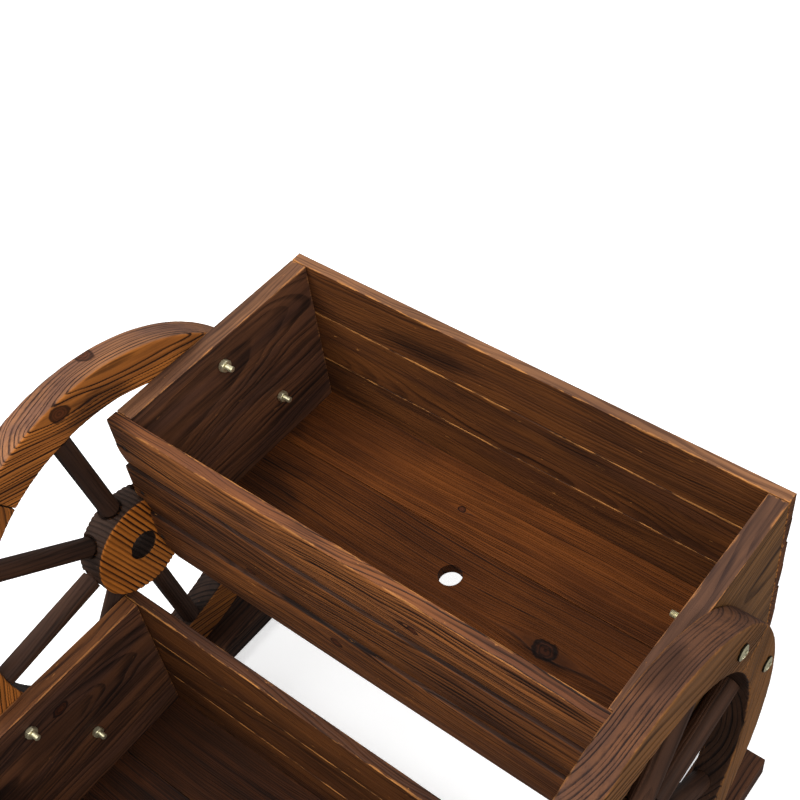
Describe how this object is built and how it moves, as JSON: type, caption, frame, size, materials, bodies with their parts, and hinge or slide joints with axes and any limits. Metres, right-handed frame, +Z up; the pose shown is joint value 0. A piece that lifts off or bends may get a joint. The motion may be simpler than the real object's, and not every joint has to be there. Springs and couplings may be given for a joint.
{
  "type": "wagon wheel planter",
  "caption": "Stepped wooden garden planter: open plank boxes at the front and, higher, at the back, held between fixed spoked wagon wheels.",
  "frame": {"origin": "on the ground, under the middle of the object's bounding box", "axes": "+X along the boxes to the right-hand wheel, +Y from the low box to the high box at the back, +Z up"},
  "size_m": [0.563, 0.526, 0.433],
  "materials": {
    "plank_wood": "scorched, dull oil finish",
    "end_wood": "scorched stripes, dull oil finish",
    "floor_wood": "lightly scorched, matte",
    "rim_wood": "scorched stripes, dull oil finish",
    "spoke_wood": "dark oil finish, slight sheen",
    "hub_wood": "scorched stripes, dull oil finish",
    "peg_wood": "bare",
    "foot_wood": "lightly scorched, matte",
    "nail_steel": "dull, darkened",
    "screw_steel": "zinc plated",
    "yellow_zinc": "yellow zinc plate, satin"
  },
  "bodies": {
    "root": {"upper_front_plank_1": "plank_wood", "upper_front_plank_2": "plank_wood", "upper_front_plank_3": "plank_wood", "upper_back_plank_1": "plank_wood", "upper_back_plank_2": "plank_wood", "upper_back_plank_3": "plank_wood", "lower_front_plank_1": "plank_wood", "lower_front_plank_2": "plank_wood", "lower_front_plank_3": "plank_wood", "lower_back_plank_1": "plank_wood", "lower_back_plank_2": "plank_wood", "lower_back_plank_3": "plank_wood", "upper_left_end": "end_wood", "upper_right_end": "end_wood", "lower_left_end": "end_wood", "lower_right_end": "end_wood", "upper_floor_board_1": "floor_wood", "upper_floor_board_2": "floor_wood", "upper_floor_board_3": "floor_wood", "lower_floor_board_1": "floor_wood", "lower_floor_board_2": "floor_wood", "lower_floor_board_3": "floor_wood", "left_felloe_1": "rim_wood", "left_felloe_2": "rim_wood", "left_felloe_3": "rim_wood", "left_felloe_4": "rim_wood", "right_felloe_1": "rim_wood", "right_felloe_2": "rim_wood", "right_felloe_3": "rim_wood", "right_felloe_4": "rim_wood", "left_spoke_1": "spoke_wood", "left_spoke_2": "spoke_wood", "left_spoke_3": "spoke_wood", "left_spoke_4": "spoke_wood", "left_spoke_5": "spoke_wood", "left_spoke_6": "spoke_wood", "left_spoke_7": "spoke_wood", "left_spoke_8": "spoke_wood", "right_spoke_1": "spoke_wood", "right_spoke_2": "spoke_wood", "right_spoke_3": "spoke_wood", "right_spoke_4": "spoke_wood", "right_spoke_5": "spoke_wood", "right_spoke_6": "spoke_wood", "right_spoke_7": "spoke_wood", "right_spoke_8": "spoke_wood", "left_hub": "hub_wood", "right_hub": "hub_wood", "left_rim_dowels": "peg_wood", "right_rim_dowels": "peg_wood", "left_foot_beam": "foot_wood", "right_foot_beam": "foot_wood", "upper_nails": "nail_steel", "lower_nails": "nail_steel", "rim_bolts": "yellow_zinc", "rim_nuts": "yellow_zinc", "foot_screws": "screw_steel"}
  },
  "joints": []
}
